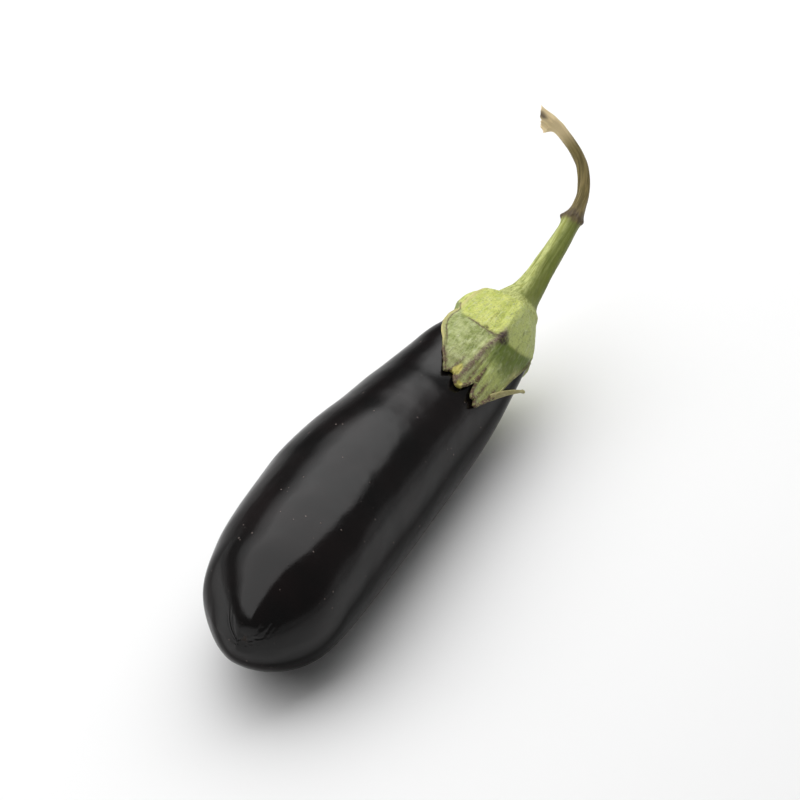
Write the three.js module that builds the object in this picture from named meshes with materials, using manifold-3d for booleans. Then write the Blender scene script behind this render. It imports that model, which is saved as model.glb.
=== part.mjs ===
// A long, slightly curved eggplant lying on its side, as picked: the fruit, the calyx that caps
// its neck, and the stem. Millimetres, +Z up, blossom end towards -X, stem towards +X.
// The origin is the middle of the small flat spot that the fruit rests on.

import * as THREE from "three";
import { mergeVertices } from "three/addons/utils/BufferGeometryUtils.js";
import Module from "manifold-3d";

// ---- Fruit -----------------------------------------------------------------------------------

const fruitLength = 172; // along the centreline, from the blossom end to the stem end
const bellyRadius = 23.6; // the thickest place
const bellyStation = 52; // distance from the blossom end to the thickest place
const noseRadius = 18; // what the belly tapers to at the blossom end, before it is rounded
const noseLength = 28; // length of the rounded blossom end
const neckRadius = 14.4; // just below the calyx
const neckLength = 21; // distance from that place to the stem end
const crownLength = 15; // length of the rounded stem end, hidden by the calyx
const roundness = 2.3; // of both ends: 2 is an ellipse, more is blunter
const dimpleRadius = 5; // small hollow where the blossom dropped off
const dimpleDepth = 0.9;

// ---- How the fruit lies ----------------------------------------------------------------------

const sidewaysBend = 15.4; // degrees turned from end to end, lying flat
const neckRise = 11.5; // how far the neck lifts at its end
const neckRiseLength = 52; // over this length
const restSag = 0.7; // how much of the belly the resting spot flattens

// ---- Calyx -----------------------------------------------------------------------------------

const hubRadius = 6.6; // top of the calyx, under the stem
const hubThickness = 3.6; // flesh between the fruit and the stem
const kneeRadius = 14.2; // where the sepals turn down over the neck
const kneeDrop = 11; // distance of that turn below the top of the calyx, at the gaps
const cornerDrop = 8; // how much lower the turn is at a long sepal
const ribHeight = 1.3; // how far a long sepal's rib stands out at the turn
const rimThickness = 1.1; // sepal thickness at its edge
const gapReach = 14; // from the top of the calyx down to the deepest gap between two sepals
const tipReach = 49; // from the top of the calyx down to the longest sepal's tip

// The sepals' free edge, round the neck from its top towards its right: the direction of each tip
// and each gap in degrees, and its place from the deepest gap, 0, to the longest tip, 1. The two
// longest sepals are grown together for most of their length.
const sepalEdge = [
	[ 27, 1 ],
	[ 41, 0.6 ],
	[ 55, 1 ],
	[ 112, 0 ],
	[ 160, 0.74 ],
	[ 186, 0.1 ],
	[ 214, 0.74 ],
	[ 236, 0.08 ],
	[ 258, 0.7 ],
	[ 306, 0 ],
];
const lobePointedness = 1.2; // 1 gives round sepals, more gives pointed ones

// ---- Stem ------------------------------------------------------------------------------------

const stemLength = 70;
const hubEdge = 0.7; // of the calyx's top, left bare around the foot of the stem
const flareRadius = hubRadius - hubEdge; // where it widens into the calyx
const stemRadius = 4.1; // thick green lower part
const nodeRadius = 3.8; // swelling where the thin part begins
const twigRadius = 1.85; // thin woody upper part
const cutRadius = 2.5; // splayed cut end

// The way the stem goes from the top of the calyx: to the right of, onwards and above the neck's
// own direction. The whole route is stretched to the stem's length.
const stemRoute = [
	[ 0, 0, 0 ],
	[ 0, 5, 0 ],
	[ - 0.4, 13, 0.5 ],
	[ 0, 22, 1.5 ],
	[ 0.2, 30, 3.4 ],
	[ - 0.6, 39.3, 7.4 ],
	[ - 3.8, 45.5, 13.9 ],
	[ - 10.3, 48.1, 23 ],
	[ - 13.7, 47.3, 27 ],
];

const clearance = 0.3; // between pieces that touch

// ---- Fineness --------------------------------------------------------------------------------

const fruitSides = 44;
const calyxSides = 90;
const stemSides = 14;
const stemSteps = 44;

// ---- Outline of the fruit --------------------------------------------------------------------

// 0 at the tip of a rounded end, 1 from its full width on.
function endRound( distance, length ) {
	const rest = 1 - THREE.MathUtils.clamp( distance / length, 0, 1 );
	return ( 1 - rest ** roundness ) ** ( 1 / roundness );
}

// Radius of the fruit at a distance from the blossom end. It tapers both ways from the belly.
function radiusAt( station ) {
	const towardsNeck = station > bellyStation;
	const taperLength = towardsNeck ? fruitLength - neckLength - bellyStation : bellyStation;
	const taper = bellyRadius - ( towardsNeck ? neckRadius : noseRadius );
	const body = bellyRadius - taper * ( ( station - bellyStation ) / taperLength ) ** 2;
	return body * endRound( station, noseLength ) * endRound( fruitLength - station, crownLength );
}

// Distance from the blossom end at which the fruit balances.
function balanceStation() {
	let weight = 0;
	let moment = 0;
	for ( let station = 0; station < fruitLength; station ++ ) {
		const area = radiusAt( station ) ** 2;
		weight += area;
		moment += area * station;
	}
	return moment / weight;
}

const restStation = balanceStation();

// The fruit lies with its skin level at the resting spot, so its centreline falls by this much
// for each millimetre towards the neck.
const droop = radiusAt( restStation ) - radiusAt( restStation + 1 );

// ---- Centrelines -----------------------------------------------------------------------------

// The middle of the fruit: an arc seen from above, drooping a little, then rising at the neck.
class FruitLine extends THREE.Curve {

	getPoint( share, target = new THREE.Vector3() ) {
		const station = share * fruitLength;
		const bendRadius = fruitLength / THREE.MathUtils.degToRad( sidewaysBend );
		const heading = ( restStation - station ) / bendRadius;
		const rising = Math.max( 0, 1 - ( fruitLength - station ) / neckRiseLength );
		return target.set(
			- bendRadius * Math.sin( heading ),
			bendRadius * ( Math.cos( heading ) - 1 ),
			radiusAt( restStation ) - restSag - droop * ( station - restStation ) + neckRise * rising ** 2
		);
	}

}

// The directions along, to the right of and above a centreline.
function directions( line, share ) {
	const along = line.getTangent( share );
	const right = along.clone().cross( new THREE.Vector3( 0, 0, 1 ) ).normalize();
	const above = right.clone().cross( along );
	return { along, right, above };
}

// Lays a shape made around the Y axis along a centreline: its height becomes the distance along
// the line, and goes straight on past the line's ends.
function layAlong( geometry, line, lineLength ) {
	const position = geometry.attributes.position;
	for ( let i = 0; i < position.count; i ++ ) {
		const share = position.getY( i ) / lineLength;
		const onLine = THREE.MathUtils.clamp( share, 0, 1 );
		const { along, right, above } = directions( line, onLine );
		const point = line.getPoint( onLine );
		point.addScaledVector( along, ( share - onLine ) * lineLength );
		point.addScaledVector( right, position.getX( i ) );
		point.addScaledVector( above, position.getZ( i ) );
		position.setXYZ( i, point.x, point.y, point.z );
	}
	return geometry;
}

// ---- Solids ----------------------------------------------------------------------------------

const wasm = await Module();
wasm.setup();

function toSolid( geometry ) {
	const plain = geometry.clone();
	plain.deleteAttribute( "normal" );
	plain.deleteAttribute( "uv" );
	const merged = mergeVertices( plain );
	return new wasm.Manifold( new wasm.Mesh( {
		numProp: 3,
		vertProperties: merged.attributes.position.array,
		triVerts: new Uint32Array( merged.index.array ),
	} ) );
}

function toGeometry( solid ) {
	const mesh = solid.getMesh();
	const geometry = new THREE.BufferGeometry();
	geometry.setAttribute( "position", new THREE.BufferAttribute( mesh.vertProperties, 3 ) );
	geometry.setIndex( new THREE.BufferAttribute( mesh.triVerts, 1 ) );
	geometry.computeVertexNormals();
	return geometry;
}

// ---- Fruit -----------------------------------------------------------------------------------

function fruitProfile() {
	const noseSteps = 12;
	const bodySteps = 24;
	const crownSteps = 8;
	const bodyLength = fruitLength - noseLength - crownLength;
	const stations = [];
	for ( let i = 0; i < noseSteps; i ++ ) {
		stations.push( noseLength * ( 1 - Math.cos( i / noseSteps * Math.PI / 2 ) ) );
	}
	for ( let i = 0; i < bodySteps; i ++ ) {
		stations.push( noseLength + bodyLength * i / bodySteps );
	}
	for ( let i = 0; i <= crownSteps; i ++ ) {
		stations.push( fruitLength - crownLength * ( 1 - Math.sin( i / crownSteps * Math.PI / 2 ) ) );
	}
	return stations.map( ( station ) => {
		const radius = radiusAt( station );
		const inDimple = Math.max( 0, 1 - ( radius / dimpleRadius ) ** 2 );
		const hollow = station < bellyStation ? dimpleDepth * inDimple ** 2 : 0;
		return new THREE.Vector2( radius, station + hollow );
	} );
}

function makeFruit( line ) {
	const geometry = new THREE.LatheGeometry( fruitProfile(), fruitSides );
	const whole = toSolid( layAlong( geometry, line, fruitLength ) );
	const table = new THREE.BoxGeometry( fruitLength * 2, fruitLength, bellyRadius );
	table.translate( 0, 0, - bellyRadius / 2 );
	return toGeometry( whole.subtract( toSolid( table ) ) );
}

// ---- Calyx -----------------------------------------------------------------------------------

const calyxTop = fruitLength + clearance + hubThickness;

// The skin of the fruit with the clearance that the calyx keeps from it.
function innerRadius( station ) {
	return radiusAt( Math.min( station, fruitLength ) ) + clearance;
}

// How far a sepal has grown at a direction in degrees: 0 in the deepest gap, 1 at the longest tip.
function growthAt( direction ) {
	const last = sepalEdge.length - 1;
	const after = sepalEdge.findIndex( ( [ turn ] ) => turn > direction );
	const next = after < 0 ? 0 : after;
	const before = next > 0 ? next - 1 : last;
	const [ fromTurn, from ] = sepalEdge[ before ];
	const [ toTurn, to ] = sepalEdge[ next ];
	const span = ( toTurn - fromTurn + 360 ) % 360;
	const share = ( ( direction - fromTurn + 360 ) % 360 ) / span;
	const up = from < to ? share : 1 - share;
	const rise = ( ( 1 - Math.cos( up * Math.PI ) ) / 2 ) ** lobePointedness;
	return Math.min( from, to ) + Math.abs( to - from ) * rise;
}

// The calyx's section at an angle from the top of the neck: from the middle of its top down the
// outside of a sepal, and back up the inside.
function calyxSection( angle ) {
	const growth = growthAt( THREE.MathUtils.radToDeg( angle ) );
	const drop = kneeDrop + cornerDrop * growth;
	const reach = gapReach + ( tipReach - gapReach ) * growth - drop;
	const knee = calyxTop - drop;
	const kneeOut = Math.max( kneeRadius, innerRadius( knee ) + rimThickness ) + ribHeight * growth;
	const looseness = kneeOut - innerRadius( knee ) - rimThickness;
	const section = [ [ 0, calyxTop ] ];
	const shoulderSteps = 6;
	for ( let i = 0; i < shoulderSteps; i ++ ) {
		const turn = i / shoulderSteps * Math.PI / 2;
		const out = hubRadius + ( kneeOut - hubRadius ) * Math.sin( turn );
		section.push( [ out, calyxTop - drop * ( 1 - Math.cos( turn ) ) ] );
	}
	const sideSteps = 8;
	for ( let i = 0; i <= sideSteps; i ++ ) {
		const down = i / sideSteps;
		const station = knee - reach * down;
		const out = innerRadius( station ) + rimThickness + looseness * ( 1 - down ) ** 2;
		section.push( [ out, station ] );
	}
	for ( let i = sideSteps; i >= 1; i -- ) {
		const station = knee - reach * i / sideSteps;
		section.push( [ innerRadius( station ), station ] );
	}
	const crownSteps = 7;
	for ( let i = 0; i < crownSteps; i ++ ) {
		const up = Math.sin( i / crownSteps * Math.PI / 2 );
		const station = knee + ( fruitLength - knee ) * up;
		section.push( [ innerRadius( station ), station + clearance * up ] );
	}
	section.push( [ 0, fruitLength + clearance ] );
	return section;
}

function makeCalyx( line ) {
	const blank = calyxSection( 0 ).map( ( [ radius, station ] ) => new THREE.Vector2( radius, station ) );
	const geometry = new THREE.LatheGeometry( blank.reverse(), calyxSides );
	const position = geometry.attributes.position;
	for ( let side = 0; side <= calyxSides; side ++ ) {
		const angle = side % calyxSides / calyxSides * Math.PI * 2;
		const section = calyxSection( angle ).reverse();
		section.forEach( ( [ radius, station ], i ) => {
			const x = radius * Math.sin( angle );
			const z = radius * Math.cos( angle );
			position.setXYZ( side * section.length + i, x, station, z );
		} );
	}
	return layAlong( geometry, line, fruitLength );
}

// ---- Stem ------------------------------------------------------------------------------------

// Radii along the stem, as shares of its length.
const stemOutline = [
	[ 0, flareRadius ],
	[ 0.06, ( flareRadius + stemRadius ) / 2 ],
	[ 0.16, stemRadius ],
	[ 0.4, nodeRadius ],
	[ 0.45, nodeRadius ],
	[ 0.49, ( nodeRadius + twigRadius ) / 2 ],
	[ 0.55, twigRadius ],
	[ 0.92, twigRadius ],
	[ 1, cutRadius ],
];

function makeStem( fruitLine ) {
	const { along, right, above } = directions( fruitLine, 1 );
	const base = fruitLine.getPoint( 1 ).addScaledVector( along, calyxTop + clearance - fruitLength );
	const frame = new THREE.Matrix4().makeBasis( right, along, above ).setPosition( base );
	const points = stemRoute.map( ( point ) => new THREE.Vector3( ...point ) );
	const stretch = stemLength / new THREE.CatmullRomCurve3( points ).getLength();
	points.forEach( ( point ) => point.multiplyScalar( stretch ).applyMatrix4( frame ) );
	const route = new THREE.CatmullRomCurve3( points );
	const outline = new THREE.SplineCurve(
		stemOutline.map( ( [ share, radius ] ) => new THREE.Vector2( radius, share * stemLength ) )
	);
	const profile = [
		new THREE.Vector2( 0, 0 ),
		...outline.getPoints( stemSteps ),
		new THREE.Vector2( 0, stemLength ),
	];
	return layAlong( new THREE.LatheGeometry( profile, stemSides ), route, stemLength );
}

// ---- Eggplant --------------------------------------------------------------------------------

function piece( name, geometry, color, roughness ) {
	const material = new THREE.MeshStandardMaterial( { color, roughness, metalness: 0 } );
	const mesh = new THREE.Mesh( geometry, material );
	mesh.name = name;
	return mesh;
}

const fruitLine = new FruitLine();
const eggplant = new THREE.Group();
eggplant.add( piece( "fruit", makeFruit( fruitLine ), 0x1b1519, 0.22 ) );
eggplant.add( piece( "calyx", makeCalyx( fruitLine ), 0x8ba248, 0.6 ) );
eggplant.add( piece( "stem", makeStem( fruitLine ), 0x8a9a45, 0.65 ) );

export default eggplant;
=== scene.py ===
"""A long, slightly curved eggplant lying on its side, as picked, on a white studio table.

The fruit follows the frame's centreline and the stem nearly does. The fruit is fuller on its left
and blunter at its blossom end than the frame's, the sepals have a finer shape of their own, and
the stem is a little longer, with a broader foot. All three are shaped in millimetres around the
Y axis, laid along their centrelines and brought to metres last.
"""

import math

import bmesh
import bpy
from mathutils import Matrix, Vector, noise


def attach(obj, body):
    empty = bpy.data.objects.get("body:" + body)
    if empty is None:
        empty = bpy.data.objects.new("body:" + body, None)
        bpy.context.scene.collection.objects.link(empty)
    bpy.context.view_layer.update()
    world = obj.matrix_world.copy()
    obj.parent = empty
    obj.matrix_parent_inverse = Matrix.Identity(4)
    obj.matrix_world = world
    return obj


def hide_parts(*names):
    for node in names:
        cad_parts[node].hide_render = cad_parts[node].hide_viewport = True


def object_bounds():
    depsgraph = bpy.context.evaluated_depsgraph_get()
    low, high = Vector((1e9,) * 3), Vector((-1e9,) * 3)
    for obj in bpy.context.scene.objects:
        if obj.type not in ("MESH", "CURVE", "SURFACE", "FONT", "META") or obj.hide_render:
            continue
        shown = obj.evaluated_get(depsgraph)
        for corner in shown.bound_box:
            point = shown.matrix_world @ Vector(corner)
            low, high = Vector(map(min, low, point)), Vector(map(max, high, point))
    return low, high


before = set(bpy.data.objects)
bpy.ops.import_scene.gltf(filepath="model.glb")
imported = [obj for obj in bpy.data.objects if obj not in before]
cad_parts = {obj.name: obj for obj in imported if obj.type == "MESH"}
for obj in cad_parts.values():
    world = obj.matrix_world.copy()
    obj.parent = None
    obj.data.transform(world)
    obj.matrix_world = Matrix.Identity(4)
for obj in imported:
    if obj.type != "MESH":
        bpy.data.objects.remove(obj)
frame_low, frame_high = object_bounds()

MM = 0.001

# ---- Fruit sizes, in millimetres -------------------------------------------------------------

FRUIT_LENGTH = 172
BELLY_RADIUS = 23.6
BELLY_STATION = 52
NOSE_RADIUS = 18
NOSE_LENGTH = 28
NECK_RADIUS = 14.4
NECK_LENGTH = 21
CROWN_LENGTH = 15
ROUNDNESS = 2.3
DIMPLE_RADIUS = 5
DIMPLE_DEPTH = 0.9

SIDEWAYS_BEND = math.radians(15.4)
NECK_RISE = 11.5
NECK_RISE_LENGTH = 52
REST_SAG = 0.7
LINE_START = 0.01  # where the direction of the centreline is first taken

# ---- Calyx and stem sizes, in millimetres ----------------------------------------------------

CALYX_TOP = FRUIT_LENGTH + 3.9
SEPAL_THICKNESS = 0.9
SEPAL_GAP = 0.15  # between a sepal and the skin under it

STEM_LENGTH = 71.6
STEM_ROUTE = [
    (0, 0, 0),
    (0, 5, 0),
    (-0.6, 13, 0.6),
    (-0.5, 22, 1.9),
    (-0.3, 30, 3.8),
    (-0.6, 39.3, 7.4),
    (-3.8, 45.5, 13.9),
    (-10.9, 48.1, 23.4),
    (-15.8, 47.2, 28.4),
]

# ---- How finely each piece is divided --------------------------------------------------------

NOSE_STEPS = 84
BODY_STEPS = 120
CROWN_STEPS = 24
FRUIT_SIDES = 208

CALYX_RINGS = 92
CALYX_SIDES = 360

STEM_STEPS = 260
STEM_SIDES = 72


# ---- Curves ----------------------------------------------------------------------------------


def clamp(value, low=0.0, high=1.0):
    return max(low, min(high, value))


def ease(value, start=0.0, end=1.0):
    """0 before start, 1 after end, and a smooth step between."""
    share = clamp((value - start) / (end - start))
    return share * share * (3 - 2 * share)


def bump(value, middle, width):
    """1 at the middle, fading smoothly to nothing about two widths away."""
    return math.exp(-(((value - middle) / width) ** 2))


def through(points, place):
    """The value at a place on a smooth curve through (place, value) points."""
    last = len(points) - 1
    i = 0
    while i < last - 1 and place > points[i + 1][0]:
        i += 1
    (x0, y0), (x1, y1) = points[i], points[i + 1]
    before = points[max(i - 1, 0)]
    after = points[min(i + 2, last)]
    slope0 = (y1 - before[1]) / (x1 - before[0])
    slope1 = (after[1] - y0) / (after[0] - x0)
    span = x1 - x0
    t = clamp((place - x0) / span)
    return (
        (2 * t**3 - 3 * t**2 + 1) * y0
        + (t**3 - 2 * t**2 + t) * span * slope0
        + (3 * t**2 - 2 * t**3) * y1
        + (t**3 - t**2) * span * slope1
    )


def around(points, angle):
    """As through(), for points given all the way round in degrees."""
    wrapped = [(a - 360, v) for a, v in points[-2:]] + points
    wrapped += [(a + 360, v) for a, v in points[:2]]
    return through(wrapped, angle)


def end_round(distance, length):
    """0 at an end of the fruit, 1 a length away from it, and round between."""
    rest = 1 - clamp(distance / length)
    return (1 - rest**ROUNDNESS) ** (1 / ROUNDNESS)


def fruit_radius(station):
    """Radius of the fruit at a distance from its blossom end."""
    towards_neck = station > BELLY_STATION
    taper_length = FRUIT_LENGTH - NECK_LENGTH - BELLY_STATION if towards_neck else BELLY_STATION
    taper = BELLY_RADIUS - (NECK_RADIUS if towards_neck else NOSE_RADIUS)
    body = BELLY_RADIUS - taper * ((station - BELLY_STATION) / taper_length) ** 2
    nose = end_round(station, NOSE_LENGTH)
    return body * nose * end_round(FRUIT_LENGTH - station, CROWN_LENGTH)


LEFT_DIRECTION = -66  # degrees round from the top towards the right
UNDERSIDE_LIFT = 1.2  # how far the underside is drawn in near the blossom end

# How much the skin stands out on the left past an even shape: station and amount.
LEFT_SIDE = [
    (0, -3.7), (11, -3.4), (20, -1.7), (29, -0.9), (37, -0.2), (46, 0.3), (55, 0.8), (64, 1.5),
    (72, 2.15), (80, 2.4), (88, 2.4), (96, 2.25), (103, 2.15), (111, 2.45), (120, 3), (131, 3.6),
    (142, 4.1), (151, 4.35), (158, 3.1), (164, 1.2), (172, 0),
]


def lean(angle, station):
    """How much the skin stands out past an even shape in a direction."""
    leftwards = max(0, math.cos(math.radians(angle - LEFT_DIRECTION))) ** 1.5
    under = max(0, -math.cos(math.radians(angle)))
    return leftwards * through(LEFT_SIDE, station) - UNDERSIDE_LIFT * under * bump(station, 6, 13)


def balance_station():
    """Where the fruit balances, going by the area of its cross-sections."""
    weights = [fruit_radius(station) ** 2 for station in range(FRUIT_LENGTH)]
    return sum(s * w for s, w in enumerate(weights)) / sum(weights)


REST_STATION = balance_station()
DROOP = fruit_radius(REST_STATION) - fruit_radius(REST_STATION + 1)  # levels the underside there


def fruit_line(station):
    """Middle of the fruit: an arc seen from above, drooping a little, then rising at the neck."""
    bend_radius = FRUIT_LENGTH / SIDEWAYS_BEND
    heading = (REST_STATION - station) / bend_radius
    rising = max(0, 1 - (FRUIT_LENGTH - station) / NECK_RISE_LENGTH)
    return Vector((
        -bend_radius * math.sin(heading),
        bend_radius * (math.cos(heading) - 1),
        fruit_radius(REST_STATION) - REST_SAG - DROOP * (station - REST_STATION) + NECK_RISE * rising**2,
    ))


def directions(line, station):
    """The directions to the right of, along and above a centreline."""
    step = 0.01
    along = (line(station) - line(station - step)).normalized()
    right = along.cross(Vector((0, 0, 1))).normalized()
    return right, along, right.cross(along)


def stem_line():
    """The stem's centreline as a function of the distance from its base."""
    right, along, above = directions(fruit_line, FRUIT_LENGTH)
    base = fruit_line(FRUIT_LENGTH) + along * (CALYX_TOP - FRUIT_LENGTH)
    flat = [Vector(point) for point in STEM_ROUTE]
    length = sum((b - a).length for a, b in zip(flat, flat[1:]))
    stretch = STEM_LENGTH / length
    places = [0.0]
    for a, b in zip(flat, flat[1:]):
        places.append(places[-1] + (b - a).length * stretch)
    axes = [[(place, point[axis] * stretch) for place, point in zip(places, flat)] for axis in range(3)]

    def line(distance):
        if distance < 0:
            return base + along * distance
        x, y, z = (through(axis, distance) for axis in axes)
        return base + right * x + along * y + above * z

    return line


# ---- Shaping ---------------------------------------------------------------------------------


def lay_along(bm, line, low, high):
    """Lays a shape made around the Y axis along a centreline, and keeps where each point was
    before as its grain, which the materials' streaks follow."""
    grain = bm.verts.layers.float_vector.new("grain")
    for vert in bm.verts:
        vert[grain] = vert.co
        station = clamp(vert.co.y, low, high)
        right, along, above = directions(line, station)
        place = line(station) + along * (vert.co.y - station)
        vert.co = place + right * vert.co.x + above * vert.co.z


def turned(profile, sides):
    """A surface turned round the Y axis from (radius, height) points."""
    bm = bmesh.new()
    verts = [bm.verts.new((0, height, radius)) for radius, height in profile]
    edges = [bm.edges.new(pair) for pair in zip(verts, verts[1:])]
    bmesh.ops.spin(
        bm,
        geom=verts + edges,
        cent=(0, 0, 0),
        axis=(0, 1, 0),
        angle=math.tau,
        steps=sides,
        use_merge=True,
    )
    bmesh.ops.remove_doubles(bm, verts=bm.verts, dist=1e-4)
    bmesh.ops.recalc_face_normals(bm, faces=bm.faces)
    return bm


def around_angle(point):
    """Degrees round the Y axis, from above towards the right."""
    return math.degrees(math.atan2(point.x, point.z))


def finish_piece(bm, name, material, node):
    bmesh.ops.scale(bm, vec=(MM, MM, MM), verts=bm.verts)
    bmesh.ops.recalc_face_normals(bm, faces=bm.faces)
    mesh = bpy.data.meshes.new(name)
    bm.to_mesh(mesh)
    bm.free()
    mesh.shade_smooth()
    mesh.materials.append(material)
    piece = bpy.data.objects.new(name, mesh)
    bpy.context.scene.collection.objects.link(piece)
    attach(piece, "root")
    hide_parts(node)
    return piece


# ---- Materials -------------------------------------------------------------------------------


class Recipe:
    """A node material, with a short way to add nodes and join them."""

    def __init__(self, name):
        self.material = bpy.data.materials.new(name)
        self.material.use_nodes = True
        self.tree = self.material.node_tree
        self.shader = self.tree.nodes["Principled BSDF"]

    def node(self, kind, **settings):
        node = self.tree.nodes.new(kind)
        for name, value in settings.items():
            setattr(node, name, value)
        return node

    def set(self, socket, value):
        if isinstance(value, bpy.types.NodeSocket):
            self.tree.links.new(value, socket)
        else:
            socket.default_value = value

    def attribute(self, name, output="Fac"):
        return self.node("ShaderNodeAttribute", attribute_name=name).outputs[output]

    def grain(self, scale):
        """The piece's grain in millimetres, made coarser or finer along each direction."""
        mapping = self.node("ShaderNodeMapping")
        self.set(mapping.inputs["Vector"], self.attribute("grain", "Vector"))
        self.set(mapping.inputs["Scale"], scale)
        return mapping.outputs["Vector"]

    def noise(self, vector, scale, detail=3.0, roughness=0.55):
        node = self.node("ShaderNodeTexNoise")
        self.set(node.inputs["Vector"], vector)
        self.set(node.inputs["Scale"], scale)
        self.set(node.inputs["Detail"], detail)
        self.set(node.inputs["Roughness"], roughness)
        return node.outputs["Fac"]

    def cells(self, vector, scale):
        node = self.node("ShaderNodeTexVoronoi")
        self.set(node.inputs["Vector"], vector)
        self.set(node.inputs["Scale"], scale)
        return node.outputs["Distance"]

    def ramp(self, value, low, high, to_low=0.0, to_high=1.0):
        node = self.node("ShaderNodeMapRange", interpolation_type="SMOOTHSTEP")
        self.set(node.inputs["Value"], value)
        self.set(node.inputs["From Min"], low)
        self.set(node.inputs["From Max"], high)
        self.set(node.inputs["To Min"], to_low)
        self.set(node.inputs["To Max"], to_high)
        return node.outputs["Result"]

    def math(self, operation, a, b=0.0):
        node = self.node("ShaderNodeMath", operation=operation)
        self.set(node.inputs[0], a)
        self.set(node.inputs[1], b)
        return node.outputs[0]

    def mix(self, share, a, b):
        node = self.node("ShaderNodeMix", data_type="RGBA")
        self.set(node.inputs["Factor"], share)
        self.set(node.inputs["A"], a)
        self.set(node.inputs["B"], b)
        return node.outputs["Result"]

    def raise_by(self, height, distance, normal=None):
        node = self.node("ShaderNodeBump")
        self.set(node.inputs["Height"], height)
        self.set(node.inputs["Distance"], distance)
        if normal is not None:
            self.set(node.inputs["Normal"], normal)
        return node.outputs["Normal"]


def colour(red, green, blue):
    """A colour as seen, 0 to 255, made linear."""

    def linear(value):
        value /= 255
        return value / 12.92 if value <= 0.04045 else ((value + 0.055) / 1.055) ** 2.4

    return (linear(red), linear(green), linear(blue), 1.0)


def skin_material():
    """Glossy, nearly black purple skin with pores, specks and faint streaks."""
    recipe = Recipe("aubergine_skin")
    where = recipe.grain((1, 1, 1))
    streaks = recipe.noise(recipe.grain((1, 0.12, 1)), 0.5, 4)
    patches = recipe.noise(where, 0.045, 3)
    base = recipe.mix(recipe.ramp(patches, 0.35, 0.7), colour(11, 10, 10), colour(19, 14, 14))
    base = recipe.mix(recipe.ramp(streaks, 0.55, 0.8, 0, 0.3), base, colour(25, 20, 20))
    specks = recipe.ramp(recipe.cells(where, 0.36), 0.05, 0.11, 1, 0)
    chance = recipe.ramp(recipe.noise(where, 0.12, 1), 0.5, 0.62)
    base = recipe.mix(recipe.math("MULTIPLY", specks, chance), base, colour(112, 100, 94))
    base = recipe.mix(recipe.attribute("scar"), base, colour(40, 32, 27))
    recipe.set(recipe.shader.inputs["Base Color"], base)
    rough = recipe.ramp(recipe.noise(where, 0.3, 5, 0.7), 0.3, 0.75, 0.12, 0.19)
    rough = recipe.math("ADD", rough, recipe.math("MULTIPLY", recipe.attribute("scar"), 0.45))
    recipe.set(recipe.shader.inputs["Roughness"], rough)
    recipe.set(recipe.shader.inputs["IOR"], 1.34)
    # The gloss weakens at a slant, where the table's reflection would make a wide pale rim.
    slant = recipe.node("ShaderNodeLayerWeight").outputs["Facing"]
    recipe.set(recipe.shader.inputs["Specular IOR Level"], recipe.ramp(slant, 0.38, 0.62, 0.5, 0.03))
    fine = recipe.noise(where, 1.6, 3)
    normal = recipe.raise_by(fine, 0.00002)
    waves = recipe.noise(recipe.grain((1, 0.5, 1)), 0.14, 1)
    normal = recipe.raise_by(waves, 0.0002, normal)
    pits = recipe.ramp(recipe.cells(where, 0.36), 0.02, 0.14, 1, 0)
    normal = recipe.raise_by(recipe.math("MULTIPLY", pits, chance), 0.00005, normal)
    recipe.set(recipe.shader.inputs["Normal"], normal)
    return recipe.material


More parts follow.
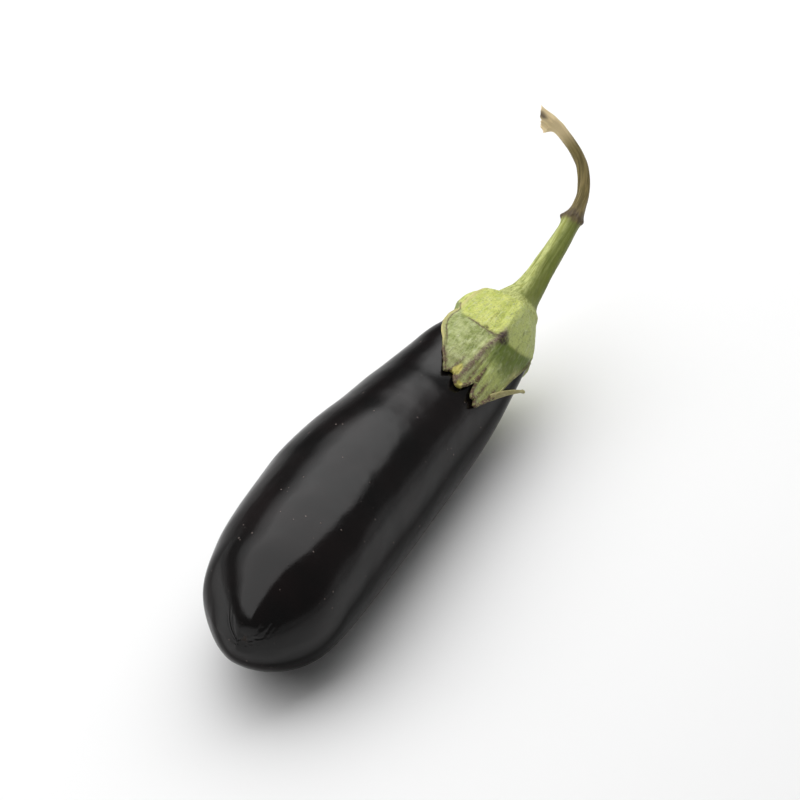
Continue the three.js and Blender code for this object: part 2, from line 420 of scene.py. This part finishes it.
def calyx_material():
    """Matt green sepals: yellow-green on top, grey-green on the left, deep green on the right that is
    partly painted shade, with a brown rib, pale rolled margins, a painted highlight on the lower right
    flank, corky spots and yellow flesh where the tips are cut."""
    recipe = Recipe("calyx_flesh")
    where = recipe.grain((1, 1, 1))
    streaks = recipe.noise(recipe.grain((1, 0.16, 1)), 1.3, 4, 0.62)
    mottle = recipe.noise(where, 0.3, 4, 0.6)
    speckle = recipe.noise(where, 1.7, 3, 0.65)
    side = recipe.mix(recipe.ramp(mottle, 0.35, 0.65), colour(180, 188, 126), colour(136, 148, 76))
    base = recipe.mix(recipe.attribute("pale"), side, colour(176, 188, 104))
    # Deep green, partly the calyx's own colour and partly painted shade on its right side.
    base = recipe.mix(recipe.attribute("deep_green_and_shade"), base, colour(92, 110, 16))
    top = recipe.mix(recipe.ramp(mottle, 0.3, 0.7), colour(208, 212, 116), colour(180, 190, 88))
    top = recipe.mix(recipe.attribute("dusky"), top, colour(182, 192, 112))
    base = recipe.mix(recipe.attribute("top"), base, top)
    fuzz = recipe.ramp(streaks, 0.46, 0.72, 0, 0.6)
    fuzz = recipe.math("MULTIPLY", fuzz, recipe.ramp(recipe.attribute("deep_green_and_shade"), 0, 1, 1, 0.35))
    base = recipe.mix(fuzz, base, colour(196, 202, 158))
    base = recipe.mix(recipe.ramp(speckle, 0.5, 0.68, 0, 0.5), base, colour(100, 108, 52))
    shadows = recipe.ramp(recipe.noise(recipe.grain((1, 0.1, 1)), 1.0, 3), 0.56, 0.74, 0, 0.5)
    base = recipe.mix(shadows, base, colour(96, 104, 48))
    broken = recipe.ramp(recipe.noise(where, 1.0, 4, 0.7), 0.3, 0.55, 0.25, 1)
    # Pale rolled margins, seam and curled tip, with a painted highlight on the lower right flank.
    base = recipe.mix(recipe.attribute("margin_and_flank_highlight"), base, colour(204, 196, 132))
    brown = recipe.mix(recipe.ramp(speckle, 0.4, 0.6), colour(120, 98, 84), colour(84, 62, 52))
    base = recipe.mix(recipe.math("MULTIPLY", recipe.attribute("rib"), broken), base, brown)
    base = recipe.mix(recipe.math("MULTIPLY", recipe.attribute("line"), broken), base, colour(92, 68, 50))
    base = recipe.mix(recipe.math("MULTIPLY", recipe.attribute("scab"), broken), base, colour(52, 32, 22))
    flesh = recipe.mix(recipe.ramp(streaks, 0.4, 0.65), colour(200, 192, 102), colour(148, 142, 58))
    base = recipe.mix(recipe.attribute("cut"), base, flesh)
    recipe.set(recipe.shader.inputs["Base Color"], base)
    recipe.set(recipe.shader.inputs["Roughness"], recipe.ramp(mottle, 0.2, 0.8, 0.52, 0.7))
    recipe.set(recipe.shader.inputs["Subsurface Weight"], 0.08)
    recipe.set(recipe.shader.inputs["Subsurface Radius"], (0.4, 0.6, 0.2))
    recipe.set(recipe.shader.inputs["Subsurface Scale"], 0.001)
    normal = recipe.raise_by(streaks, 0.0004)
    normal = recipe.raise_by(speckle, 0.0002, normal)
    recipe.set(recipe.shader.inputs["Normal"], normal)
    return recipe.material


def stem_material():
    """Fresh green low down, with painted shade as deeper green on the side turned from the light,
    woody and tan past the swelling, with fine lines and a pale cut end.
    """
    recipe = Recipe("stem_bark")
    where = recipe.grain((1, 1, 1))
    lines = recipe.noise(recipe.grain((1, 0.06, 1)), 1.5, 4, 0.6)
    mottle = recipe.noise(where, 0.5, 4)
    age = recipe.attribute("age")
    green = recipe.mix(recipe.ramp(lines, 0.35, 0.65), colour(144, 150, 66), colour(196, 202, 128))
    # Painted shade: deeper green where the stem's side is turned from the light.
    green = recipe.mix(recipe.attribute("deep_green_and_shade"), green, colour(104, 114, 36))
    green = recipe.mix(recipe.ramp(mottle, 0.5, 0.72, 0, 0.5), green, colour(104, 118, 48))
    wood = recipe.mix(recipe.ramp(lines, 0.35, 0.65), colour(100, 88, 48), colour(146, 130, 80))
    patchy_age = recipe.math("ADD", age, recipe.math("MULTIPLY", mottle, 0.3))
    base = recipe.mix(recipe.ramp(patchy_age, 0.5, 0.8), green, wood)
    base = recipe.mix(recipe.attribute("ring"), base, colour(84, 70, 46))
    base = recipe.mix(recipe.attribute("cut"), base, colour(236, 214, 166))
    base = recipe.mix(recipe.attribute("bruise"), base, colour(60, 42, 46))
    recipe.set(recipe.shader.inputs["Base Color"], base)
    recipe.set(recipe.shader.inputs["Roughness"], recipe.ramp(mottle, 0.2, 0.8, 0.5, 0.7))
    normal = recipe.raise_by(lines, 0.0003)
    normal = recipe.raise_by(recipe.noise(where, 2.5, 4, 0.7), 0.00008, normal)
    recipe.set(recipe.shader.inputs["Normal"], normal)
    return recipe.material


# ---- Fruit -----------------------------------------------------------------------------------


def fruit_profile():
    """Radius and station of points along the fruit, closer together towards its ends."""
    body_length = FRUIT_LENGTH - NOSE_LENGTH - CROWN_LENGTH
    stations = [NOSE_LENGTH * (1 - math.cos(i / NOSE_STEPS * math.pi / 2)) for i in range(NOSE_STEPS)]
    stations += [NOSE_LENGTH + body_length * i / BODY_STEPS for i in range(BODY_STEPS)]
    for i in range(CROWN_STEPS + 1):
        stations.append(FRUIT_LENGTH - CROWN_LENGTH * (1 - math.sin(i / CROWN_STEPS * math.pi / 2)))
    return [(fruit_radius(station), station) for station in stations]


SCAR_AT = (1.2, 2.6)  # where the blossom dropped off: to the right of and above the very end
CREASE_RADIUS = 7.2
BLUNTING = 1.7  # how much shorter the blossom end is than an even shape


def crinkle(right, above):
    """Depth of the hollow around the blossom scar and of the curved creases that cup it."""
    grit = noise.noise(Vector((right / 2.3, above / 2.3, 3)))
    fine = noise.noise(Vector((right / 0.9, above / 0.9, 7)))
    dimple = DIMPLE_DEPTH * max(0, 1 - (math.hypot(right, above) / DIMPLE_RADIUS) ** 2) ** 2
    up = above - CREASE_RADIUS
    radius = math.hypot(right, up)
    cup = ease(-up / max(radius, 0.1), -0.35, 0.25)
    crease = 0.24 * bump(radius, CREASE_RADIUS + 1.1 * grit + 0.3 * fine, 0.5) * cup
    inner = 0.13 * bump(radius, CREASE_RADIUS - 1.6 + 1.3 * grit + 0.4 * fine, 0.45) * ease(cup, 0.4, 0.9)
    outer = 0.1 * bump(radius, CREASE_RADIUS + 1.3 + 1.2 * fine, 0.45) * ease(cup, 0.5, 1)
    return 0.6 * dimple + crease + inner + outer


def make_fruit():
    bm = turned(fruit_profile(), FRUIT_SIDES)
    scar = bm.verts.layers.float.new("scar")
    for vert in bm.verts:
        angle = around_angle(vert.co)
        radius = math.hypot(vert.co.x, vert.co.z)
        outward = Vector((vert.co.x, 0, vert.co.z)).normalized()
        swell = 0.34 * noise.noise(vert.co / 34) + 0.1 * noise.noise(vert.co / 12)
        lobes = 0.22 * math.cos(math.radians(3 * angle + 40)) * ease(vert.co.y, 60, 150)
        in_nose = 1 - ease(vert.co.y, 6, 14)
        rough = noise.noise(vert.co / 1.1)
        right, above = vert.co.x - SCAR_AT[0], vert.co.z - SCAR_AT[1]
        vert.co += outward * (swell + lobes + lean(angle, vert.co.y)) * ease(radius, 0, 6)
        vert.co.y += crinkle(right, above) * in_nose + BLUNTING * (1 - ease(vert.co.y, 0, NOSE_LENGTH))
        vert[scar] = in_nose * (1 - ease(math.hypot(right, above) + 0.9 * rough, 0.3, 1.3))
    lay_along(bm, fruit_line, LINE_START, FRUIT_LENGTH)
    for vert in bm.verts:
        vert.co.z = max(vert.co.z, 0)
    return finish_piece(bm, "eggplant_fruit", skin_material(), "fruit")


# ---- Calyx -----------------------------------------------------------------------------------

# How far each sepal reaches below the calyx's top, round from the neck's top towards its right.
SEPAL_EDGE = [
    (-180, 20.5), (-174, 17.5), (-167, 21), (-157, 32), (-150, 38.5), (-146, 40), (-141, 37), (-134, 27),
    (-124, 17.5), (-117, 22), (-109, 33), (-102, 38.5), (-97, 37), (-90, 29), (-82, 22), (-72, 17),
    (-61, 14.6), (-50, 13.6), (-43, 15.2), (-36, 19.5), (-30, 23.5), (-21, 29), (-11, 34), (-1, 40.5),
    (6, 44.5), (12, 48.4), (15, 47), (19.5, 46.2), (23, 49.5), (29, 51), (33, 50), (36, 46.5),
    (38.3, 41), (40, 34.5), (41.8, 41), (43.5, 47), (46, 49.8), (49.5, 49), (54, 51), (58, 47),
    (65, 39.5), (70, 32), (76, 25.5), (85, 19.5), (96, 15), (108, 13.6), (120, 13.8), (133, 14.8),
    (144, 18.5), (152, 27), (158, 36), (163, 40), (169, 36), (175, 27),
]

# The shoulder, from the stem out to where the sepals turn down: drop and radius at five even
# steps of the way, for directions round from the neck's top towards its right.
SHOULDER = [
    (-180, [(0, 7), (2.5, 9.5), (5.5, 11.8), (9, 13.4), (13, 14.2)]),
    (-145, [(0, 7), (2.5, 9.8), (5.5, 12.2), (9, 14.2), (14, 15.4)]),
    (-110, [(0, 7.2), (1.5, 9.8), (4, 12.2), (7.5, 14), (11.5, 14.8)]),
    (-80, [(0, 8), (1, 10.5), (3.4, 13.2), (6.5, 15.4), (10.5, 16.4)]),
    (-61, [(0, 8.5), (0.7, 10.8), (3.2, 13.3), (6.2, 15.3), (10, 16.5)]),
    (-45, [(0, 8), (1.6, 10.6), (4.6, 12.9), (8.5, 14.7), (13, 15.4)]),
    (-25, [(0, 7.4), (3, 9.6), (7.5, 12), (12.5, 13.8), (17.5, 14.8)]),
    (0, [(0, 7), (3.8, 9.6), (9, 12), (14, 13.6), (19.4, 14.6)]),
    (18, [(0, 7), (4, 9.5), (9, 11.9), (14.2, 13.7), (19.8, 14.9)]),
    (33, [(0, 7), (4, 9.9), (9, 12.5), (14, 14.6), (19.4, 16)]),
    (48, [(0, 7), (4, 9.3), (9, 11.7), (13.5, 13.3), (19, 14.7)]),
    (70, [(0, 6.9), (3.4, 8.4), (7.5, 10.6), (11.5, 12.3), (17, 13.8)]),
    (95, [(0, 6.8), (3, 7.9), (6.5, 9.8), (9.5, 11.3), (13.5, 13)]),
    (119, [(0, 6.8), (3, 7.7), (6, 9.4), (9, 11.2), (13, 12.7)]),
    (145, [(0, 7), (2.5, 9.2), (6, 11.4), (9.5, 13.2), (14.5, 14.8)]),
]

# Ribs: how far below the calyx's top each point of the crest is, and its direction, then the
# crest's height at the turn, its width, and how brown it is.
RIBS = [
    ([(0, 25), (8, 28), (14, 30.5), (19.3, 32), (25, 27), (31, 26), (41, 25.5), (50, 24)], 0.85, 1.1, 1),
    ([(0, 62), (10, 60), (19, 58), (34, 55), (50, 54)], 0.3, 1.6, 0.1),
    ([(0, 152), (20, 158), (40, 163)], 0.9, 1.3, 0.7),
    ([(0, -142), (15, -144), (40, -146)], 0.9, 1.3, 0.7),
    ([(0, -84), (12, -94), (39, -102)], 0.25, 1.6, 0.4),
]

# Fine brown splits in the front sepals: points of each as drop and direction.
SPLITS = [
    [(29, 39.6), (41, 39.2), (49, 38)],
    [(26, 31.5), (38, 33), (50, 34)],
    [(33, 16), (42, 15.5), (49, 16)],
    [(36, 50.5), (44, 50), (51, 49.5)],
    [(33, 62), (41, 60), (49, 56.5)],
]

SEPAL_RADIUS = 17  # about how far the front sepals' splits are from the centreline
LEAST_HANG = 1.6  # how far below its turn every sepal reaches at least
BESIDE_FRUIT = 4.5  # from this drop on the calyx is beside the fruit, not above it

# Where the rolled left margin begins and where it ends, each over a few degrees.
LEFT_MARGIN_BEGINS = (-56, -50)
LEFT_MARGIN_ENDS = (-14, -2)

# The rolled margin of the front sepal, which runs on up to the stem as a seam.
SEAM = [(0, -62), (1.5, -54), (5, -47), (10, -43), (15, -42)]


def apart(angle, other, radius):
    """Distance round the calyx between two directions, in millimetres."""
    return math.radians((angle - other + 180) % 360 - 180) * radius


def shoulder_points(angle):
    """The five (drop, radius) points of the shoulder at a direction."""
    return [
        tuple(around([(turn, points[i][part]) for turn, points in SHOULDER], angle) for part in (0, 1))
        for i in range(5)
    ]


def hugging(angle, drop):
    """Radius of a sepal that lies close on the skin."""
    station = CALYX_TOP - drop
    return fruit_radius(station) + lean(angle, station) + SEPAL_THICKNESS + SEPAL_GAP


def calyx_place(angle, share, edge, points):
    """Radius and drop at a share of the way from the middle of the calyx's top to its free edge."""
    hub_share, knee_share = 0.08, 0.42
    knee, knee_radius = points[-1]
    squeeze = min(1, (edge - LEAST_HANG) / knee)
    if share < hub_share:
        return points[0][1] * share / hub_share, 0
    if share < knee_share:
        steps = (share - hub_share) / (knee_share - hub_share) * 4
        drop = through([(i, point[0]) for i, point in enumerate(points)], steps) * squeeze
        return through([(i, point[1]) for i, point in enumerate(points)], steps), drop
    part = clamp((share - knee_share) / (1 - knee_share))
    knee *= squeeze
    drop = knee + (edge - knee) * part
    loose = max(0, knee_radius - hugging(angle, knee))
    return hugging(angle, drop) + loose * (1 - part) ** 1.6, drop


def paint_calyx(layers, vert, angle, drop, edge, knee, rib, seam, grit):
    """Sets how much of each finish, painted shade and painted highlight the calyx has at a place, and returns
    how far it is cut.
    """
    below = ease(drop, knee - 1.0, knee + 0.8)
    front = ease(angle, -48, -42) * (1 - ease(angle, 96, 110))
    before_back = 1 - ease(angle, 128, 145)
    right_of_rib = ease(angle + 3 * grit, 29, 35) * before_back
    right_facet = ease(angle + 5 * grit, 18, 42) * before_back
    to_edge = edge - drop
    left_margin = ease(angle, *LEFT_MARGIN_BEGINS) * (1 - ease(angle, *LEFT_MARGIN_ENDS))
    vert[layers["top"]] = 1 - below
    vert[layers["dusky"]] = (1 - below) * right_facet
    # Deep green right of the rib, partly the calyx's own colour and partly painted shade on the side turned
    # from the light, paler low down and on the far right flank.
    upper = 1 - ease(drop + 2.5 * grit, 25, 35)
    paler = 0.85 * ease(angle, 66, 84) * ease(drop, 19, 25)
    vert[layers["deep_green_and_shade"]] = right_of_rib * ease(drop, 11, 17) * upper * front * (1 - paler)
    vert[layers["pale"]] = front * ease(drop, 24, 34) * right_of_rib
    vert[layers["rib"]] = rib * ease(drop, 13, 19)
    rolled = bump(to_edge, 0.2, 1.0) * left_margin
    # Painted highlight: a pale band on the lower right flank, which faces away from the light.
    flank_highlight = 0.75 * ease(angle, 62, 80) * before_back * ease(drop, 20, 27)
    vert[layers["margin_and_flank_highlight"]] = min(1, rolled + seam * 0.9 + flank_highlight * (0.7 + grit))
    # Brown lines: beside the free edge, on the turn, in the splits and over the dry sepal tips.
    beside = bump(to_edge, 1.9 + 0.4 * grit, 0.45) * left_margin
    beside += 0.6 * bump(to_edge, 0.2, 0.7) * (1 - left_margin)
    knee_line = bump(drop, knee + 0.1 + 0.25 * grit, 0.42) * ease(angle, -22, -4) * (1 - ease(angle, 30, 36))
    slit = 0.0
    for points in SPLITS:
        away = apart(angle, through(points, drop), SEPAL_RADIUS)
        begun = ease(drop, points[0][0], points[0][0] + 5)
        slit = max(slit, bump(away, 0.25 * grit, 0.42) * begun)
    tips = front * (1 - ease(to_edge + 1.6 * grit, 0.3, 3.6)) * ease(edge, 36, 43) * 0.85
    dry = 0.3 * ease(drop + 4 * grit, 30, 42) * ease(angle, -30, -15) * (1 - ease(angle, 62, 76))
    vert[layers["line"]] = min(1, beside + knee_line + 0.8 * slit + tips + dry)
    # The corky corner where the rib turns down, four small corky spots and a patch on the turn.
    corner = math.hypot(apart(angle, 34, 15.8), (drop - 19.4) * 0.75) + 0.7 * grit
    spot_a = math.hypot(apart(angle, 10, 14), drop - 18.8) + 0.5 * grit
    spot_b = math.hypot(apart(angle, -54, 12), drop - 3.0) + 0.5 * grit
    spot_c = math.hypot(apart(angle, -47, 14), drop - 9.5) + 0.5 * grit
    spot_d = math.hypot(apart(angle, 0, 14), drop - knee) + 0.6 * grit
    corky = ease(angle, 12, 20) * (1 - ease(angle, 30, 36))
    corky *= 1 - ease(abs(drop - knee - 0.5) + grit, 0.5, 1.5)
    scab = max(
        1 - ease(corner, 1.1, 2.7),
        0.9 - ease(spot_a, 0.4, 1.4),
        0.6 - ease(spot_b, 0.3, 1.1),
        0.6 - ease(spot_c, 0.3, 1.1),
        0.7 - ease(spot_d, 0.3, 1.1),
        0.55 * corky,
    )
    vert[layers["scab"]] = max(0, scab)
    # The two places where a tip was sliced off, as ellipses.
    upper_cut = math.hypot(apart(angle, 19.5, 18) / 1.25, (drop - 44) / 4.2)
    lower_cut = math.hypot(apart(angle, 30, 18) / 1.1, (drop - 49.5) / 1.8)
    sliced = 1 - ease(min(upper_cut, lower_cut) + 0.2 * grit, 0.75, 1.0)
    vert[layers["cut"]] = sliced
    return sliced


def add_curled_tip(bm, layers):
    """A thin dried sepal point that curls off the right side of the front sepal."""
    # Direction, drop and radius of points along it.
    spots = [(62, 41, 18.2), (67, 37, 18.3), (74, 33, 18.0), (82, 29.5, 17.7), (89, 27, 17.6), (95, 25, 17.9)]
    outline = [(0, 0), (1.0, 0.02), (0.95, 1), (0.8, 2), (0.66, 3), (0.5, 4), (0.3, 4.7), (0, 5)]
    width, thickness = 1.1, 0.45
    last = len(spots) - 1
    tracks = [[(i, spot[part]) for i, spot in enumerate(spots)] for part in range(3)]
    tip = turned(outline, 10)

    def spot_at(place):
        angle, drop, radius = (through(track, place) for track in tracks)
        turn = math.radians(angle)
        return Vector((radius * math.sin(turn), CALYX_TOP - drop, radius * math.cos(turn)))

    bmesh.ops.subdivide_edges(tip, edges=tip.edges, cuts=1)
    for vert in tip.verts:
        place = clamp(vert.co.y, 0, last)
        middle = spot_at(place)
        along = (spot_at(place + 0.05) - spot_at(place - 0.05)).normalized()
        out = Vector((middle.x, 0, middle.z)).normalized()
        out = (out - along * out.dot(along)).normalized()
        vert.co = middle + along.cross(out) * vert.co.x * width + out * vert.co.z * thickness
    mesh = bpy.data.meshes.new("curled_tip")
    tip.to_mesh(mesh)
    tip.free()
    known = set(bm.verts)
    bm.from_mesh(mesh)
    bpy.data.meshes.remove(mesh)
    for vert in bm.verts:
        if vert not in known:
            vert[layers["line"]] = 0.45
            vert[layers["margin_and_flank_highlight"]] = 0.75


def make_calyx():
    bm = turned([(i / CALYX_RINGS, 0) for i in range(CALYX_RINGS + 1)], CALYX_SIDES)
    names = ("top", "dusky", "deep_green_and_shade", "pale", "rib", "margin_and_flank_highlight", "line", "scab", "cut")
    layers = {name: bm.verts.layers.float.new(name) for name in names}
    known = {}  # what depends only on the direction, which is the same in every ring
    for vert in bm.verts:
        share = math.hypot(vert.co.x, vert.co.z)
        angle = around_angle(vert.co)
        key = round(angle * 10)
        if key not in known:
            known[key] = (around(SEPAL_EDGE, angle), shoulder_points(angle))
        edge, points = known[key]
        knee = min(points[-1][0], edge - LEAST_HANG)
        radius, drop = calyx_place(angle, share, edge, points)
        turn = math.radians(angle)
        flat = Vector((math.sin(turn), 0, math.cos(turn)))
        spot = Vector((radius * flat.x, drop, radius * flat.z))
        grit = noise.noise(spot / 0.9)
        off_hub = ease(radius, 6.5, 9)
        raised, brown = 0.0, 0.0
        for crest, height, width, brownness in RIBS:
            away = abs(apart(angle, through(crest, drop), radius)) / width
            ridge = max(0, 1 - away / 2.2) ** 1.4
            raised = max(raised, height * ridge * (0.35 + 0.65 * bump(drop, knee, 9)))
            brown = max(brown, brownness * bump(away, 0, 0.95))
        seam = bump(apart(angle, through(SEAM, drop), radius), 0, 0.55) * (1 - ease(drop, 13, 15))
        seam *= ease(drop, 0.4, 2)
        rolled = bump(edge - drop, 0.4, 0.9)
        rolled = rolled * ease(angle, *LEFT_MARGIN_BEGINS) * (1 - ease(angle, *LEFT_MARGIN_ENDS))
        sliced = paint_calyx(layers, vert, angle, drop, edge, knee, brown, seam, grit)
        furrows = 0.2 * noise.noise(Vector((spot.x / 0.9, spot.y / 11, spot.z / 0.9)))
        folds = 0.32 * noise.noise(Vector((spot.x / 3.2, spot.y / 12, spot.z / 3.2)))
        out = radius + off_hub * (raised + furrows + folds + 0.5 * seam + 0.55 * rolled)
        out += 0.45 * ease(share, 0.95, 1) - 0.35 * sliced + 0.3 * vert[layers["scab"]] * grit
        if drop > BESIDE_FRUIT:
            out = max(out, hugging(angle, drop) - 0.05)
        vert.co = Vector((out * flat.x, CALYX_TOP - drop, out * flat.z))
    add_curled_tip(bm, layers)
    lay_along(bm, fruit_line, LINE_START, FRUIT_LENGTH)
    piece = finish_piece(bm, "eggplant_calyx", calyx_material(), "calyx")
    wall = piece.modifiers.new("wall", "SOLIDIFY")
    wall.thickness = SEPAL_THICKNESS * MM
    wall.offset = -1
    return piece


# ---- Stem ------------------------------------------------------------------------------------

STEM_FOOT = 2.5  # how far the foot of the stem runs down into the calyx
FOOT_TOP = 1.5  # up to this height the foot takes on the shape of the calyx's shoulder
STEM_OUTLINE = [
    (-STEM_FOOT, 9.2), (-1.5, 8.3), (0, 7.15), (1.5, 6.2), (3.5, 5.35), (6, 4.75), (10, 4.15), (16, 3.7),
    (22, 3.35), (29, 3.0), (33, 2.95), (35, 2.75), (37.5, 2.25), (41, 2.0), (50, 1.85), (62, 1.75),
    (66.5, 2.1), (STEM_LENGTH, 2.7),
]


def paint_stem(layers, vert, height, angle, bud, grit):
    """Sets how much of each finish, and of painted shade, the stem has at a place."""
    shaded = ease(math.cos(math.radians(angle) - 1.5), -0.2, 0.6)
    on_bud = 0.8 if bud > 0.4 else 0
    vert[layers["age"]] = ease(height, 28, 38)
    vert[layers["ring"]] = min(1, bump(height + 1.6 * grit, 34.6, 1.9) + on_bud)
    # Painted shade: the green is deeper on the side of the stem turned from the light.
    vert[layers["deep_green_and_shade"]] = shaded * ease(height, -0.5, 2.0) * 0.85
    vert[layers["cut"]] = max(ease(height, 57, 65) * 0.85, ease(height - 2 * grit, 66, 69.5))
    vert[layers["bruise"]] = 0.8 * bump(apart(angle, -50, 2.6), 0, 0.9) * ease(height, 69.2, 70.6)


def make_stem():
    whole = STEM_LENGTH + STEM_FOOT
    heights = [-STEM_FOOT + whole * i / STEM_STEPS for i in range(STEM_STEPS + 1)]
    profile = [(0, -STEM_FOOT)] + [(through(STEM_OUTLINE, height), height) for height in heights]
    profile += [(2.2, STEM_LENGTH - 0.2), (1.6, STEM_LENGTH - 0.8), (0.9, STEM_LENGTH - 1)]
    profile += [(0, STEM_LENGTH - 0.7)]
    bm = turned(profile, STEM_SIDES)
    names = ("age", "ring", "deep_green_and_shade", "cut", "bruise")
    layers = {name: bm.verts.layers.float.new(name) for name in names}
    for vert in bm.verts:
        height = vert.co.y
        angle = around_angle(vert.co)
        turn = math.radians(angle)
        radius = math.hypot(vert.co.x, vert.co.z)
        outward = Vector((math.sin(turn), 0, math.cos(turn)))
        grit = noise.noise(Vector((vert.co.x / 0.7, height / 2, vert.co.z / 0.7)))
        low = 1 - ease(height, 14, 30)
        ribs = 0.2 * math.sin(5 * turn + 0.06 * height) * (0.4 + 0.6 * low)
        fibres = 0.13 * noise.noise(Vector((4 * math.sin(turn), height / 14, 4 * math.cos(turn))))
        bark = 0.14 * noise.noise(Vector((vert.co.x / 1.5, height / 4, vert.co.z / 1.5)))
        fuller = 1.1 * math.cos(turn + 1.06) * bump(height, 2, 7)
        bud = 1.0 * bump(apart(angle, -66, 3.2), 0, 1.0) * bump(height, 33, 1.0)
        bud += 0.6 * bump(apart(angle, 110, 3.2), 0, 1.1) * bump(height, 34, 1.1)
        ring = 0.22 * bump(height, 34, 1.3) * (1 + grit)
        heel = 1.5 * bump(height, 68.6, 1.8) * ease(-math.cos(turn), -0.1, 0.8)
        heel += ease(height, 65, 70) * (0.35 * math.cos(2 * turn + 0.5) + 0.45 * grit)
        out = ribs + fibres + bark + fuller + bud + ring + heel
        if height < FOOT_TOP:
            sink = ease(height, -STEM_FOOT, FOOT_TOP)
            seat = through(shoulder_points(angle), max(0, -height)) + 0.12
            seat -= 0.7 * (1 - ease(height, -STEM_FOOT, -1.3))
            out = (radius + out) * sink + seat * (1 - sink) - radius
        on_skin = ease(radius, 0.4, 1.6)
        vert.co += outward * out * (on_skin if height > FOOT_TOP else min(1, radius / 2))
        torn = ease(height, 68, 70.6)
        vert.co.y += torn * (2.3 * math.cos(turn) * radius / 2.5 + 0.9 * grit)
        paint_stem(layers, vert, height, angle, bud, grit)
    lay_along(bm, stem_line(), -STEM_FOOT, STEM_LENGTH)
    return finish_piece(bm, "eggplant_stem", stem_material(), "stem")


# ---- Studio ----------------------------------------------------------------------------------


TABLE_HALF = 2
TABLE_WHITE = (0.86, 0.86, 0.86, 1)


def make_floor():
    bm = bmesh.new()
    bmesh.ops.create_grid(bm, x_segments=1, y_segments=1, size=TABLE_HALF)
    mesh = bpy.data.meshes.new("table")
    bm.to_mesh(mesh)
    bm.free()
    floor = bpy.data.objects.new("table", mesh)
    recipe = Recipe("table_white")
    recipe.set(recipe.shader.inputs["Base Color"], TABLE_WHITE)
    recipe.set(recipe.shader.inputs["Roughness"], 0.6)
    mesh.materials.append(recipe.material)
    bpy.context.scene.collection.objects.link(floor)


def make_light(name, place, turned_to, size, power):
    lamp = bpy.data.lights.new(name, "AREA")
    lamp.shape = "RECTANGLE"
    lamp.size, lamp.size_y = size
    lamp.energy = power
    light = bpy.data.objects.new(name, lamp)
    light.location = place
    light.rotation_euler = turned_to
    light.visible_camera = False
    bpy.context.scene.collection.objects.link(light)


def make_overhead_panels():
    """A long panel above the fruit, with a row of ever dimmer ones beyond its left edge."""
    turn = math.radians(-20)
    sideways = Vector((-math.sin(turn), math.cos(turn), 0))
    centre = Vector((0.02, 0.34, 1.0))
    length, radiance = 3.5, 2.04
    # Name, distance from the centre, width, and share of the full brightness.
    rows = [
        ("overhead_panel", 0.13, 1.39, 1),
        ("fading_panel_1", 0.975, 0.3, 0.6),
        ("fading_panel_2", 1.275, 0.3, 0.4),
        ("fading_panel_3", 1.6, 0.35, 0.22),
    ]
    for name, away, wide, share in rows:
        power = radiance * share * math.pi * length * wide
        make_light(name, centre + sideways * away, (0, 0, turn), (length, wide), power)


def make_world():
    """Dim white surroundings, brighter at the horizon and below it."""
    world = bpy.data.worlds.new("studio")
    world.use_nodes = True
    tree = world.node_tree
    where = tree.nodes.new("ShaderNodeTexCoord")
    split = tree.nodes.new("ShaderNodeSeparateXYZ")
    ramp = tree.nodes.new("ShaderNodeMapRange")
    ramp.interpolation_type = "SMOOTHSTEP"
    ramp.inputs["From Min"].default_value = 0.05
    ramp.inputs["From Max"].default_value = 0.17
    ramp.inputs["To Min"].default_value = 0.55
    ramp.inputs["To Max"].default_value = 0.17
    tree.links.new(where.outputs["Generated"], split.inputs["Vector"])
    tree.links.new(split.outputs["Z"], ramp.inputs["Value"])
    tree.links.new(ramp.outputs["Result"], tree.nodes["Background"].inputs["Strength"])
    tree.nodes["Background"].inputs["Color"].default_value = (1, 1, 1, 1)
    bpy.context.scene.world = world


CAMERA_AZIMUTH = math.radians(-62.9)
CAMERA_ELEVATION = math.radians(38)
CAMERA_DISTANCE = 1.32


def make_camera(middle):
    """A long lens aimed at the middle of the eggplant, from beyond its blossom end."""
    azimuth, elevation = CAMERA_AZIMUTH, CAMERA_ELEVATION
    back = Vector((
        math.sin(azimuth) * math.cos(elevation),
        -math.cos(azimuth) * math.cos(elevation),
        math.sin(elevation),
    ))
    lens = bpy.data.cameras.new("camera")
    lens.lens = 200
    lens.sensor_width = 36
    camera = bpy.data.objects.new("camera", lens)
    camera.location = middle + back * CAMERA_DISTANCE
    camera.rotation_euler = (-back).to_track_quat("-Z", "Y").to_euler()
    bpy.context.scene.collection.objects.link(camera)
    bpy.context.scene.camera = camera


make_fruit()
make_calyx()
make_stem()
make_floor()
make_world()
middle = (frame_low + frame_high) / 2
make_overhead_panels()
make_camera(middle)
bpy.context.scene.view_settings.view_transform = "Standard"
